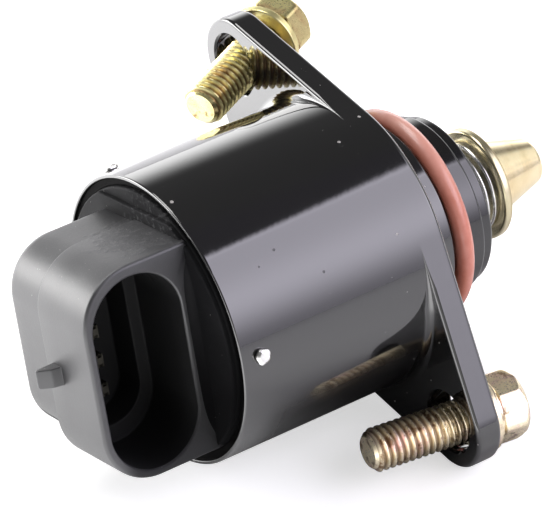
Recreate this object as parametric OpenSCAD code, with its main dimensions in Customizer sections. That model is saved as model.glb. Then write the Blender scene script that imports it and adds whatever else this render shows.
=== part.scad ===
// Idle air control valve: a stepper motor in a flanged can drives a spring loaded
// pintle out of a stepped nose, with a side facing connector on the rear plug.
// X runs along the valve axis towards the pintle. X = 0 is the flange's mounting
// face, the connector mouth faces -Y and +Z is up along the mouth's long side.

/* [Can] */
// Outside diameter of the can
can_d = 33; // [31:0.5:38]
// Wall of the can
can_wall = 1.3; // [0.9:0.1:1.6]
// Metal between the mounting face and the motor chamber
front_wall = 4.6; // [4:0.1:6]
// Edge break on the open rear rim
rim_edge = 0.35; // [0.1:0.05:0.5]

/* [Flange] */
// Distance from the can's wall to the middle of a screw hole
hole_out = 6.8; // [6.4:0.1:9]
// Turn of the hole line about the axis, from +Y towards +Z
flange_angle = 46; // [0:1:90]
// Diameter of the screw holes
hole_d = 7; // [6.9:0.1:7.4]
// Metal around each screw hole
ear_wall = 1.9; // [1.6:0.1:3]
// Thickness of the flange
flange_t = 3.2; // [2.6:0.1:3.3]
// Edge break around the flange
flange_edge = 0.5; // [0.2:0.1:0.8]
// Fillet between the can and the back of each ear
root_fillet = 1; // [0.5:0.1:1.2]

/* [Nose] */
// Diameter of the shoulder behind the seal ring
shoulder_d = 22.8; // [21.6:0.2:26]
// Length of the shoulder
shoulder_len = 4.1; // [3:0.1:6]
// Width of the land that the seal ring sits on
land_w = 2.6; // [2.4:0.1:3.4]
// How far that land lies below the pilot
land_step = 0.2; // [0.2:0.05:0.4]
// Section of the seal ring
ring_section = 2.15; // [1.6:0.05:2.3]
// Diameter of the pilot that centres the valve
pilot_d = 20.4; // [20.2:0.1:22]
// Length of the pilot
pilot_len = 2.3; // [1.8:0.1:4]
// How far the stepped end lies below the pilot
end_step = 0.5; // [0.4:0.1:0.8]
// Wall of the stepped end around the bearing's seat
end_wall = 1.5; // [1.2:0.1:1.8]
// Length of the stepped end
end_len = 1.35; // [0.8:0.05:3]
// Edge break on the nose's steps
nose_edge = 0.35; // [0.1:0.05:0.6]

/* [Bearing] */
// Place of the bearing's rear face
bearing_x = 1.6; // [1:0.1:2]
// Diameter of the balls as a share of the section between journal and seat
ball_share = 0.641; // [0.62:0.001:0.66]
// Wall of each race as a share of that section
race_share = 0.214; // [0.19:0.002:0.24]
// Race beyond the balls on each side
race_lip = 0.5; // [0.4:0.1:0.6]
// Number of balls
ball_count = 7; // [5:1:8]
// Running gap between a ball and its track
ball_gap = 0.05; // [0.02:0.01:0.08]

/* [Rotor] */
// Diameter of the magnet as a share of the motor chamber's bore
magnet_share = 0.566; // [0.54:0.002:0.6]
// Gap between the magnet's ends and the stator's ends
magnet_inset = 0.7; // [0.5:0.1:1.5]
// Diameter of the nut's body as a share of the magnet's
nut_share = 0.604; // [0.56:0.002:0.66]
// Gap between the nut's body and the ends of the motor chamber
nut_gap = 0.4; // [0.3:0.1:0.8]
// Diameter of the shoulder behind the bearing
nut_shoulder_d = 8.8; // [8:0.1:9]
// Diameter of the journal inside the bearing
front_journal_d = 7; // [6.6:0.1:7.2]
// Diameter of the rear journal
rear_journal_d = 5.8; // [5.2:0.1:6.4]
// Length of the rear journal
rear_journal_len = 2.6; // [2:0.1:2.9]
// Air gap between the magnet and the pole claws
air_gap = 0.4; // [0.3:0.05:0.6]

/* [Stator] */
// Length of one coil stack
stack_len = 8.8; // [8:0.1:10]
// Thickness of the steel cups
cup_t = 0.9; // [0.7:0.1:1.1]
// Pole claws on each cup
claw_count = 6; // [4:1:8]
// Width of a claw as a share of the pole pitch
claw_share = 0.4; // [0.3:0.05:0.45]
// Gap between a claw's end and the opposite cup
claw_clear = 1; // [0.7:0.1:2]
// Wall of the bobbin
bobbin_wall = 0.6; // [0.5:0.1:0.8]
// Bobbin flange left bare outside the winding
winding_inset = 0.4; // [0.2:0.1:0.8]
// Gap around the coil stacks
stack_gap = 0.1; // [0.05:0.05:0.3]

/* [Screw drive] */
// Diameter of the lead screw
lead_d = 4; // [3.6:0.1:4.4]
// Radial running gap of the lead screw and the journals
run_gap = 0.06; // [0.02:0.01:0.1]
// Width across the lead screw's flats
flat_w = 3.2; // [3:0.1:3.4]
// Place of the lead screw's rear end
lead_rear = -16; // [-16.6:0.1:-12]
// Travel of the pintle into the nose
retract = 4; // [3:0.1:4.2]
// Travel of the pintle out of the nose
extend = 2.5; // [1:0.1:3]
// Gap left between pintle and nose when fully in
stop_gap = 0.25; // [0.2:0.05:0.5]
// Length of the guide that keeps the lead screw from turning
guide_len = 3.6; // [3:0.1:4]
// Rim wall of the guide
guide_wall = 1.3; // [1:0.1:1.6]
// Thickness of the guide's web
web_t = 1.2; // [0.9:0.1:1.5]
// Depth of the web behind the guide's rear face
web_inset = 0.6; // [0.3:0.1:0.8]

/* [Pintle] */
// Diameter of the pintle's disc
disc_d = 12.8; // [11.6:0.2:14]
// Thickness of the disc
disc_t = 1.1; // [0.9:0.1:1.6]
// Diameter of the cone next to the disc
cone_d = 9; // [8:0.1:10]
// Length of the cone
cone_len = 7.1; // [6:0.1:9]
// Diameter of the cone's front end
cone_end_d = 5.1; // [4.8:0.1:6]
// Height of the rounded tip
tip_h = 0.9; // [0.5:0.1:1.5]
// Depth of the lead screw's socket in the pintle
socket_depth = 4; // [3:0.1:5]

/* [Spring] */
// Wire diameter of the spring
wire_d = 0.45; // [0.35:0.05:0.5]
// Place of the turns, as a share of the way from the lead screw to the guide's rim
coil_share = 0.615; // [0.56:0.005:0.65]
// Number of turns
turns = 6; // [4:0.5:6]

/* [Connector] */
// Distance from the can's rim to the connector's back
block_depth = 13.8; // [13:0.1:16]
// Height of the socket's body
block_h = 24.4; // [24:0.1:27]
// Corner radius of the socket's body
block_corner = 6.2; // [5.6:0.1:7]
// Distance of the mouth from the valve axis
mouth_y = 9.4; // [8:0.1:11]
// How much smaller the closed end is all round
tier_step = 0.4; // [0.2:0.1:0.8]
// Length of the closed end past the valve axis
tier_len = 7; // [6.8:0.1:9]
// How much higher the closed end's lower side sits
tier_lift = 1.5; // [0.5:0.1:1.6]
// Wall of the socket along its back
socket_wall = 1.05; // [0.9:0.05:1.6]
// Width of the socket
socket_w = 10.9; // [10:0.1:11.2]
// Lip above the socket
lip_top = 1.4; // [1:0.1:2]
// Lip below the socket
lip_bottom = 0.85; // [0.7:0.05:1.6]
// Distance from the wide socket's end to the valve axis
ledge_y = 0.3; // [0.1:0.1:1]
// Width of the ledge around the socket's deep part
ledge_w = 1.5; // [1.4:0.1:2]
// Extra ledge below the deep part
ledge_low = 0.55; // [0.5:0.05:1]
// Depth of the deep part past the valve axis
floor_y = 3.8; // [3:0.1:4.2]
// Fillet from the mouth's lip to the plug
mouth_fillet = 1.2; // [0.6:0.1:1.3]

/* [Latch] */
// Height of the latch nib
latch_h = 2.4; // [1.2:0.1:3]
// Length of the nib's ramp
latch_len = 1.5; // [1:0.1:2.5]
// Width of the nib
latch_w = 2.15; // [1.5:0.05:4]
// Distance of the nib's steep side from the valve axis
latch_y = 1.4; // [0.8:0.1:4]
// How far the nib sits below the valve axis
latch_drop = 0.1; // [0:0.05:0.4]

/* [Plug] */
// Thickness of the plug in the can
plug_t = 5; // [4.7:0.1:6]
// Gap between the plug and the coil stacks
plug_gap = 0.2; // [0.1:0.1:0.5]
// Height of the raised pad on the plug
pad_h = 0.5; // [0.2:0.1:1]
// Height of the pad's straight edge above the valve axis
pad_edge = 13.4; // [12.8:0.1:14]
// Width of the seal ring's groove
seal_w = 1.2; // [1:0.1:1.3]
// Depth of that groove
seal_depth = 1.05; // [0.8:0.05:1.2]
// Plug left in front of the groove
seal_land = 0.4; // [0.3:0.1:0.6]
// Wall of the bush for the rear journal
bush_wall = 1.2; // [0.8:0.1:1.6]
// Length of that bush
bush_len = 3.1; // [2.9:0.1:3.4]
// Depth of the well behind the bush
well_depth = 0.7; // [0.3:0.1:0.9]

/* [Retaining pins] */
// Diameter of a retaining pin
pin_d = 1.3; // [1:0.1:1.4]
// Length of a pin above the can
pin_proud = 0.7; // [0.3:0.1:1]
// Depth of a pin inside the plug
pin_depth = 1.6; // [1:0.1:2.5]
// Distance of the pins from the rim
pin_inset = 2.5; // [2.2:0.1:2.6]

/* [Terminals] */
// Distance between neighbouring blades
blade_pitch = 3.4; // [3:0.1:3.8]
// Width of a blade
blade_w = 1.5; // [1:0.1:1.8]
// Thickness of a blade
blade_t = 0.75; // [0.6:0.05:0.9]
// Distance of the blade tips from the valve axis
blade_tip_y = 0.3; // [0:0.1:1]
// Height of the column's centre
blade_z = -0.3; // [-0.6:0.1:0.6]
// Plastic behind the blades' bend
bend_cover = 0.9; // [0.7:0.1:1.2]

/* [Loose screws] */
// Thread diameter
thread_d = 4.9; // [4:0.1:4.9]
// Length under the head
screw_len = 14.5; // [10:0.5:16]
// Width across the head's flats
head_af = 7; // [6.6:0.1:8]
// Height of the head above its collar
head_h = 3.3; // [2.5:0.1:4]
// Diameter of the collar
collar_d = 7.4; // [7:0.1:8]
// Thickness of the collar
collar_t = 0.5; // [0.3:0.1:0.8]
// Washer diameter
washer_d = 8.4; // [8:0.1:8.6]
// Washer bore
washer_bore = 5.5; // [5.2:0.1:5.8]
// Washer thickness
washer_t = 0.9; // [0.6:0.1:1.2]
// Lean of the straighter screw
front_lean_angle = 7.1; // [0:0.1:8]
// Lean of the slanting screw
rear_lean_angle = 25; // [0:0.5:25]

/* [Hidden] */
$fn = 96;
// Clearance of pressed and bonded pieces of one body
fit_gap = 0.02;
// Overlap that joins solids of one piece
lap = 0.05;
// How far a cut runs on past what it cuts
over = 1;
// The flange's middle lies this much inside the can's surface, which closes it off
flange_sink = 0.04;
// Where the neck's wall lies between the nut's shoulder and the bearing's seat
neck_share = 0.632;
// Gap left at the one point where a leaning washer meets the flange
touch_gap = 0.04;
// Rounding at the foot of the pintle's cone
cone_root = 0.5;
// Rounding of a retaining pin's head
pin_crown = 0.45;
// Chamfer at a loose screw's tip
screw_point = 0.6;
// Edge break of a washer
washer_edge = 0.15;
// Rounding of the latch nib's tip
nib_edge = 0.15;

can_r = can_d / 2;
chamber_r = can_r - can_wall;
hole_r = hole_d / 2;
hole_circle_r = can_r + hole_out;
ear_r = hole_r + ear_wall;
pilot_r = pilot_d / 2;
land_r = pilot_r - land_step;
end_r = pilot_r - end_step;
seat_r = end_r - end_wall;
bearing_r = seat_r - fit_gap;
nose_len = shoulder_len + land_w + pilot_len + end_len;

// Bearing, between the rotor's front journal and its seat in the nose
front_journal_r = front_journal_d / 2;
bearing_section = bearing_r - front_journal_r;
race_wall = bearing_section * race_share;
inner_race_r = front_journal_r + fit_gap + race_wall;
outer_race_r = bearing_r - race_wall;
pitch_r = (inner_race_r + outer_race_r) / 2;
ball_r = bearing_section * ball_share / 2;
track_r = ball_r + ball_gap;
bearing_w = 2 * (ball_r + race_lip);
cage_w = 2 * track_r + race_lip;
cage_t = 0.4 * (outer_race_r - inner_race_r);

// Stations along X, from the flange's mounting face
chamber_x = -front_wall;
mid_x = chamber_x - stack_len;
stack_x = mid_x - stack_len;
plug_x = stack_x - plug_gap;
rim_x = plug_x - plug_t;
block_x = rim_x - block_depth;
land_x = shoulder_len;
pilot_x = land_x + land_w;
end_x = pilot_x + pilot_len;
guide_x = bearing_x + bearing_w;
web_x = guide_x + web_inset;
seat_x = web_x + web_t;
disc_x = nose_len + retract + stop_gap;
cone_x = disc_x + disc_t;

// Rotor and stator radii, from the magnet outwards
magnet_r = chamber_r * magnet_share;
nut_r = magnet_r * nut_share;
nut_shoulder_r = nut_shoulder_d / 2;
pole_r = magnet_r + air_gap;
claw_r = pole_r + cup_t;
hub_r = claw_r + stack_gap;
shell_r = chamber_r - stack_gap;
bobbin_r = shell_r - cup_t - stack_gap;
lead_r = lead_d / 2;
journal_r = rear_journal_d / 2;
bush_r = journal_r + run_gap + bush_wall;
guide_inner_r = bearing_r - guide_wall;
coil_r = lead_r + coil_share * (guide_inner_r - lead_r);
// Housing bore behind the bearing: clear of the nut's shoulder, smaller than the bearing
neck_r = nut_shoulder_r + neck_share * (seat_r - nut_shoulder_r);

// Connector
block_top = block_h / 2;
socket_x = block_x + socket_wall;
socket_mid_x = socket_x + socket_w / 2;
socket_top = block_top - lip_top;
socket_low = -block_top + lip_bottom;
deep_low = socket_low + ledge_w + ledge_low;
deep_top = socket_top - ledge_w;
tier_top = block_top - tier_step;
tier_low = -block_top + tier_step + tier_lift;
tier_x = block_x + tier_step;
pad_x = rim_x - pad_h;
plug_r = chamber_r - 2.5 * fit_gap;
seal_x = plug_x - seal_land - seal_w / 2;
seal_floor_r = plug_r - seal_depth;
seal_wire_r = (chamber_r - seal_floor_r) / 2 - fit_gap;
pin_x = rim_x + pin_inset;
pin_r = pin_d / 2;
pin_angles = [180, 60, -60];
bend_y = tier_len - bend_cover;
bush_x = plug_x - bush_len;

// Loose screws: the angle at which each one leans about X, and where it sits in its hole
front_angle = 195.4;
rear_angle = 21.2;
front_shift = [0.022, -0.083] * hole_d;
shank_r = thread_d / 2;

// Height of a leaning washer above the middle of the flange, so that its low edge touches
function lift(lean) = flange_t / 2 / cos(lean) + washer_d / 2 * tan(lean) + touch_gap;

// Solid of revolution about X from [radius, x] points
module turned(points) {
    rotate([0, 90, 0])
        rotate_extrude()
            polygon(points);
}

// Ring about X
module ring(r_in, r_out, x0, x1) {
    turned([[r_in, x0], [r_out, x0], [r_out, x1], [r_in, x1]]);
}

// Plain cylinder about X
module rod(r, x0, x1) {
    translate([x0, 0, 0])
        rotate([0, 90, 0])
            cylinder(r = r, h = x1 - x0);
}

// Torus about X
module torus(r_core, r_wire, x) {
    translate([x, 0, 0])
        rotate([0, 90, 0])
            rotate_extrude()
                translate([r_core, 0])
                    circle(r = r_wire, $fn = 32);
}

// Sector of a ring about X, centred on an angle measured from +Y towards +Z
module sector(r_in, r_out, x0, x1, mid, width) {
    rotate([mid - width / 2, 0, 0])
        rotate([90, 0, 90])
            rotate_extrude(angle = width)
                translate([r_in, x0])
                    square([r_out - r_in, x1 - x0]);
}

// Prism along Y from a profile drawn in X and Z
module prism_y(y0, y1) {
    translate([0, y1, 0])
        rotate([90, 0, 0])
            linear_extrude(y1 - y0)
                children();
}

// Profile with two rounded corners on its -X side
module d_profile(x0, x1, z0, z1, r) {
    translate([x0 + r, z0])
        square([x1 - x0 - r, z1 - z0]);
    translate([x0, z0 + r])
        square([r + lap, z1 - z0 - 2 * r]);
    for (z = [z0 + r, z1 - r])
        translate([x0 + r, z])
            circle(r = r);
}

// Profile with round ends at top and bottom
module stadium(x_mid, w, z0, z1) {
    translate([x_mid - w / 2, z0 + w / 2])
        square([w, z1 - z0 - w]);
    for (z = [z0 + w / 2, z1 - w / 2])
        translate([x_mid, z])
            circle(d = w);
}

// Disc about X with broken edges
module edged_disc(r, x0, x1, e) {
    turned([[0, x0], [r - e, x0], [r, x0 + e], [r, x1 - e], [r - e, x1], [0, x1]]);
}

// Two eared plate: straight flanks run from the can's round to each ear
module flange() {
    ear_angles = [flange_angle, flange_angle + 180];
    hull() {
        edged_disc(can_r - flange_sink, -flange_t, 0, flange_edge, $fn = 120);
        for (a = ear_angles)
            rotate([a, 0, 0])
                translate([0, hole_circle_r, 0])
                    edged_disc(ear_r, -flange_t, 0, flange_edge, $fn = 48);
    }
    for (a = ear_angles)
        rotate([a, 0, 0])
            ear_root();
}

// Fillet between the can and the back of an ear, as far round as the flange covers it
module ear_root() {
    root_r = can_r + root_fillet;
    side_angle = asin((can_r - ear_r) / hole_circle_r);
    span = 2 * (90 - side_angle - acos((can_r - flange_sink) / root_r)) - 1;
    curve = [for (a = [0:18:72]) [root_r - root_fillet * sin(a), -flange_t - root_fillet + root_fillet * cos(a)]];
    rotate([-span / 2, 0, 0])
        rotate([90, 0, 90])
            rotate_extrude(angle = span)
                polygon(concat([[can_r - lap, -flange_t + lap], [root_r, -flange_t + lap]], curve,
                    [[can_r - lap, -flange_t - root_fillet]]));
}

module housing() {
    color("#1b1c20")
        difference() {
            union() {
                turned([[0, rim_x], [can_r - rim_edge, rim_x], [can_r, rim_x + rim_edge],
                    [can_r, -flange_edge], [can_r - flange_edge, 0], [0, 0]]);
                flange();
                turned([[0, -lap], [shoulder_d / 2, -lap], [shoulder_d / 2, land_x - nose_edge],
                    [shoulder_d / 2 - nose_edge, land_x], [land_r, land_x], [land_r, pilot_x],
                    [pilot_r, pilot_x], [pilot_r, end_x - nose_edge], [pilot_r - nose_edge, end_x],
                    [end_r, end_x], [end_r, nose_len - nose_edge], [end_r - nose_edge, nose_len],
                    [0, nose_len]]);
            }
            rod(chamber_r, rim_x - over, chamber_x);
            rod(neck_r, chamber_x - over, bearing_x + over);
            rod(seat_r, bearing_x, nose_len + over);
            for (a = [flange_angle, flange_angle + 180])
                rotate([a, 0, 0])
                    translate([0, hole_circle_r, 0])
                        rod(hole_r, -flange_t - over, over);
            for (a = pin_angles)
                rotate([a, 0, 0])
                    translate([pin_x, chamber_r - over, 0])
                        rotate([-90, 0, 0])
                            cylinder(r = pin_r + fit_gap, h = can_wall + 2 * over, $fn = 48);
        }
}

module blade_path(w, t) {
    leg_x = socket_mid_x - t / 2;
    translate([leg_x, blade_tip_y, -w / 2])
        cube([t, bend_y - blade_tip_y, w]);
    translate([leg_x, bend_y - t, -w / 2])
        cube([plug_x - leg_x, t, w]);
}

module blade(k) {
    color("#b9a06a")
        translate([0, 0, blade_z + (1.5 - k) * blade_pitch])
            difference() {
                blade_path(blade_w, blade_t);
                for (side = [-1, 1])
                    translate([socket_mid_x, blade_tip_y, side * blade_w / 2])
                        rotate([0, 0, 45])
                            cube([blade_t / 2, blade_t / 2, blade_t], center = true);
            }
}

module connector_cap() {
    color("#3a3c42")
        difference() {
            union() {
                prism_y(-mouth_y, 0)
                    d_profile(block_x, rim_x, -block_top, block_top, block_corner);
                prism_y(-lap, tier_len)
                    d_profile(tier_x, rim_x, tier_low, tier_top, block_corner - tier_step);
                // Plug with its pad, cut straight above and below
                rod(plug_r, rim_x, plug_x);
                intersection() {
                    rod(plug_r, pad_x, rim_x + lap);
                    translate([pad_x - over, -can_r, -pad_edge])
                        cube([pad_h + 2 * over, can_d, 2 * pad_edge]);
                }
                // Concave fillet from the mouth's lip down to the pad
                translate([pad_x - mouth_fillet, -mouth_y - mouth_fillet, -block_top + block_corner / 2])
                    linear_extrude(block_h - block_corner)
                        difference() {
                            square([mouth_fillet + lap, mouth_fillet + lap]);
                            circle(r = mouth_fillet);
                        }
                // Latch nib, steep on the side that holds the plug of the loom
                translate([0, 0, -latch_w / 2 - latch_drop])
                    linear_extrude(latch_w)
                        polygon([[block_x + lap, -latch_y - latch_len], [block_x, -latch_y - latch_len],
                            [block_x - latch_h + nib_edge, -latch_y - 2 * nib_edge],
                            [block_x - latch_h, -latch_y - nib_edge],
                            [block_x - latch_h, -latch_y], [block_x + lap, -latch_y]]);
            }
            prism_y(-mouth_y - over, -ledge_y)
                stadium(socket_mid_x, socket_w, socket_low, socket_top);
            prism_y(-ledge_y - over, floor_y)
                stadium(socket_mid_x, socket_w - 2 * ledge_w, deep_low, deep_top);
            for (k = [0:3])
                translate([0, 0, blade_z + (1.5 - k) * blade_pitch])
                    blade_slot();
            // Bearing bush, its well, the seal ring's groove and the pins
            rod(bush_r + fit_gap, bush_x, plug_x + over);
            rod(journal_r + run_gap, bush_x - well_depth, bush_x + lap);
            ring(seal_floor_r, can_r, seal_x - seal_w / 2, seal_x + seal_w / 2);
            for (a = pin_angles)
                rotate([a, 0, 0])
                    translate([pin_x, plug_r - pin_depth, 0])
                        rotate([-90, 0, 0])
                            cylinder(r = pin_r + fit_gap, h = pin_depth + over, $fn = 48);
        }
}

module blade_slot() {
    w = blade_w + 2 * fit_gap;
    leg_x = socket_mid_x - blade_t / 2 - fit_gap;
    translate([leg_x, floor_y - lap, -w / 2])
        cube([blade_t + 2 * fit_gap, bend_y + fit_gap - floor_y + lap, w]);
    translate([leg_x, bend_y - blade_t - fit_gap, -w / 2])
        cube([plug_x + over - leg_x, blade_t + 2 * fit_gap, w]);
}

module cap_seal_ring() {
    color("#26262a")
        torus(seal_floor_r + fit_gap + seal_wire_r, seal_wire_r, seal_x);
}

module pilot_o_ring() {
    color("#96513f")
        torus(land_r + fit_gap + ring_section / 2, ring_section / 2, land_x + land_w / 2);
}

module cap_pin(a) {
    color("#55565a")
        rotate([a, 0, 0])
            translate([pin_x, plug_r - pin_depth + fit_gap, 0])
                rotate([-90, 0, 0])
                    rotate_extrude($fn = 48) {
                        len = can_r + pin_proud - plug_r + pin_depth - fit_gap;
                        polygon([[0, 0], [pin_r, 0], [pin_r, len - pin_crown],
                            [pin_r * 0.9, len - pin_crown * 0.5], [pin_r * 0.6, len - pin_crown * 0.1], [0, len]]);
                    }
}

// Round wire wound as a twisted extrusion: the cross-section at a height is a crescent
module pintle_spring() {
    wire_r = wire_d / 2;
    seat_gap = 0.05;
    height = disc_x - seat_x - 2 * seat_gap;
    rise = (height - wire_d) / turns;
    half = 4;
    arc = 360 * wire_r / rise;
    upper = [for (i = [-half:half]) let (u = i / half, a = arc * u, r = coil_r + wire_r * sqrt(1 - u * u))
        [r * cos(a), r * sin(a)]];
    lower = [for (i = [half - 1:-1:-half + 1]) let (u = i / half, a = arc * u, r = coil_r - wire_r * sqrt(1 - u * u))
        [r * cos(a), r * sin(a)]];
    color("#b8bbc0")
        translate([seat_x + seat_gap, 0, 0])
            rotate([0, 90, 0])
                linear_extrude(height, twist = -360 * turns * height / (height - wire_d), slices = 72, segments = 4 * half)
                    polygon(concat(upper, lower));
}

module pintle() {
    base_r = disc_d / 2;
    neck = cone_d / 2;
    tip = cone_end_d / 2;
    cone_end_x = cone_x + cone_len;
    lip = disc_t * 0.3;
    color("#e0cf9c")
        turned([[0, disc_x + socket_depth], [lead_r + fit_gap, disc_x + socket_depth],
            [lead_r + fit_gap, disc_x], [base_r - lip, disc_x], [base_r, disc_x + lip],
            [base_r, cone_x - lip], [base_r - lip, cone_x], [neck + cone_root, cone_x],
            [neck + cone_root * 0.25, cone_x + cone_root * 0.3], [neck - cone_root * 0.2, cone_x + cone_root],
            [tip, cone_end_x], [tip * 0.92, cone_end_x + tip_h * 0.42],
            [tip * 0.7, cone_end_x + tip_h * 0.74], [tip * 0.4, cone_end_x + tip_h * 0.93],
            [0, cone_end_x + tip_h]]);
}

module lead_screw() {
    flat_x0 = web_x - extend - stop_gap;
    flat_x1 = seat_x + retract + stop_gap;
    color("#a9abb0")
        difference() {
            rod(lead_r, lead_rear, disc_x + socket_depth - fit_gap);
            for (side = [-1, 1])
                translate([flat_x0, side > 0 ? flat_w / 2 : -lead_d, -lead_d])
                    cube([flat_x1 - flat_x0, lead_d - flat_w / 2, 2 * lead_d]);
        }
}

module rotor_magnet() {
    color("#3b3833")
        ring(nut_r + fit_gap, magnet_r, stack_x + magnet_inset, chamber_x - magnet_inset);
}

module rotor_nut() {
    rear_x = plug_x - rear_journal_len;
    body_x = plug_x + nut_gap;
    color("#d8d2bf")
        difference() {
            union() {
                rod(journal_r, rear_x, body_x + lap);
                rod(nut_r, body_x, chamber_x - nut_gap);
                rod(nut_shoulder_r, chamber_x - nut_gap - lap, bearing_x);
                rod(front_journal_r, bearing_x - lap, bearing_x + bearing_w);
            }
            rod(lead_r + run_gap, rear_x - over, bearing_x + bearing_w + over);
        }
}

module bearing_outer() {
    color("#9fa2a8")
        difference() {
            ring(outer_race_r, bearing_r, bearing_x, bearing_x + bearing_w);
            torus(pitch_r, track_r, bearing_x + bearing_w / 2);
        }
}

module bearing_inner() {
    color("#9fa2a8")
        difference() {
            ring(front_journal_r + fit_gap, inner_race_r, bearing_x, bearing_x + bearing_w);
            torus(pitch_r, track_r, bearing_x + bearing_w / 2);
        }
}

module bearing_cage() {
    mid = bearing_x + bearing_w / 2;
    color("#a98a4a")
        difference() {
            ring(pitch_r - cage_t / 2, pitch_r + cage_t / 2, mid - cage_w / 2, mid + cage_w / 2);
            for (i = [0:ball_count - 1])
                rotate([i * 360 / ball_count, 0, 0])
                    translate([mid, pitch_r, 0])
                        rotate([90, 0, 0])
                            cylinder(r = track_r, h = 2 * cage_t, center = true, $fn = 48);
        }
}

module bearing_balls() {
    color("#c3c6cb")
        for (i = [0:ball_count - 1])
            rotate([i * 360 / ball_count, 0, 0])
                translate([bearing_x + bearing_w / 2, pitch_r, 0])
                    sphere(r = ball_r, $fn = 32);
}

module rear_bush() {
    color("#8a6a3e")
        ring(journal_r + run_gap, bush_r, bush_x, plug_x);
}

// Cup turned in one piece, with slots cut between its pole claws. dir 1 reaches forwards
module stator_cup(x, dir, turn, shell_len) {
    reach = stack_len - claw_clear;
    pitch = 360 / claw_count;
    slot_r = (claw_r + hub_r) / 2;
    profile = [[pole_r, 0], [shell_r, 0], [shell_r, shell_len], [shell_r - cup_t, shell_len],
        [shell_r - cup_t, cup_t], [claw_r, cup_t], [claw_r, reach], [pole_r, reach]];
    plain = [[pole_r, 0], [shell_r, 0], [shell_r, cup_t], [claw_r, cup_t], [claw_r, reach], [pole_r, reach]];
    color("#85878c")
        translate([x, 0, 0])
            rotate([0, dir < 0 ? 180 : 0, 0])
                difference() {
                    turned(shell_len > cup_t ? profile : plain);
                    for (i = [0:claw_count - 1])
                        sector(pole_r - over, slot_r, cup_t, stack_len, dir * turn + (i + 0.5) * pitch,
                            pitch * (1 - claw_share));
                }
}

module bobbin(x) {
    x0 = x + cup_t + stack_gap / 2;
    x1 = x + stack_len - cup_t - stack_gap / 2;
    color("#d9d3c2")
        turned([[hub_r, x0], [bobbin_r, x0], [bobbin_r, x0 + bobbin_wall],
            [hub_r + bobbin_wall, x0 + bobbin_wall], [hub_r + bobbin_wall, x1 - bobbin_wall],
            [bobbin_r, x1 - bobbin_wall], [bobbin_r, x1], [hub_r, x1]]);
}

module winding(x) {
    inset = cup_t + stack_gap / 2 + bobbin_wall + fit_gap;
    color("#a4562c")
        ring(hub_r + bobbin_wall + fit_gap, bobbin_r - winding_inset, x + inset, x + stack_len - inset);
}

// Frame of a loose screw: local -Z points to its tip, the origin is mid-flange in its hole
module in_hole(a, shift, lean, turn) {
    rotate([a, 0, 0])
        translate([-flange_t / 2, hole_circle_r, 0])
            rotate([-a, 0, 0])
                translate([0, shift[0], shift[1]])
                    rotate([turn, 0, 0])
                        rotate([0, 90, lean])
                            children();
}

module screw(lean) {
    under = lift(lean) + washer_t + fit_gap;
    corner_r = head_af / 2 / cos(30);
    crown_r = head_af / 2 * 0.86;
    color("#c9bb8a") {
        translate([0, 0, under - screw_len])
            rotate_extrude($fn = 48)
                polygon([[0, 0], [shank_r - screw_point, 0], [shank_r, screw_point],
                    [shank_r, screw_len + lap], [0, screw_len + lap]]);
        translate([0, 0, under])
            cylinder(d = collar_d, h = collar_t + lap);
        intersection() {
            translate([0, 0, under + collar_t])
                cylinder(r = corner_r, h = head_h, $fn = 6);
            translate([0, 0, under + collar_t])
                rotate_extrude()
                    polygon([[0, -lap], [corner_r * 0.97, -lap], [corner_r * 0.97, head_h * 0.73],
                        [corner_r * 0.9, head_h * 0.88], [crown_r, head_h], [0, head_h]]);
        }
    }
}

module washer(lean) {
    z0 = lift(lean);
    color("#cfc392")
        translate([0, 0, z0])
            rotate_extrude()
                polygon([[washer_bore / 2, 0], [washer_d / 2 - washer_edge, 0], [washer_d / 2, washer_edge],
                    [washer_d / 2, washer_t - washer_edge], [washer_d / 2 - washer_edge, washer_t],
                    [washer_bore / 2, washer_t]]);
}

module at_front_hole() {
    in_hole(flange_angle + 180, front_shift, front_lean_angle, front_angle)
        children();
}

module at_rear_hole() {
    in_hole(flange_angle, [0, 0], rear_lean_angle, rear_angle)
        children();
}

module guide_insert() {
    gap = run_gap;
    color("#b5ab93")
        difference() {
            union() {
                ring(guide_inner_r, bearing_r, guide_x, guide_x + guide_len);
                rod(guide_inner_r + lap, web_x, seat_x);
            }
            intersection() {
                rod(lead_r + gap, web_x - over, seat_x + over);
                translate([web_x - over, -flat_w / 2 - gap, -lead_d])
                    cube([web_t + 2 * over, flat_w + 2 * gap, 2 * lead_d]);
            }
        }
}

housing();
connector_cap();
cap_seal_ring();
pilot_o_ring();
blade(0);  // terminal_1
blade(1);  // terminal_2
blade(2);  // terminal_3
blade(3);  // terminal_4
cap_pin(pin_angles[0]);  // cap_pin_1
cap_pin(pin_angles[1]);  // cap_pin_2
cap_pin(pin_angles[2]);  // cap_pin_3
pintle_spring();
pintle();
lead_screw();
rotor_magnet();
rotor_nut();
bearing_outer();
bearing_inner();
bearing_cage();
bearing_balls();
rear_bush();
stator_cup(stack_x, 1, 0, stack_len - cup_t);  // stator_cup_1
stator_cup(mid_x, -1, 180 / claw_count, cup_t);  // stator_cup_2
stator_cup(mid_x, 1, 90 / claw_count, stack_len - cup_t);  // stator_cup_3
stator_cup(chamber_x, -1, 270 / claw_count, cup_t);  // stator_cup_4
bobbin(stack_x);  // bobbin_rear
bobbin(mid_x);  // bobbin_front
winding(stack_x);  // winding_rear
winding(mid_x);  // winding_front
at_front_hole() screw(front_lean_angle);  // screw_front
at_rear_hole() screw(rear_lean_angle);  // screw_rear
at_front_hole() washer(front_lean_angle);  // washer_front
at_rear_hole() washer(rear_lean_angle);  // washer_rear
guide_insert();
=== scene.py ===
import bmesh
import bpy
import numpy as np
from mathutils import Matrix


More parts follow.
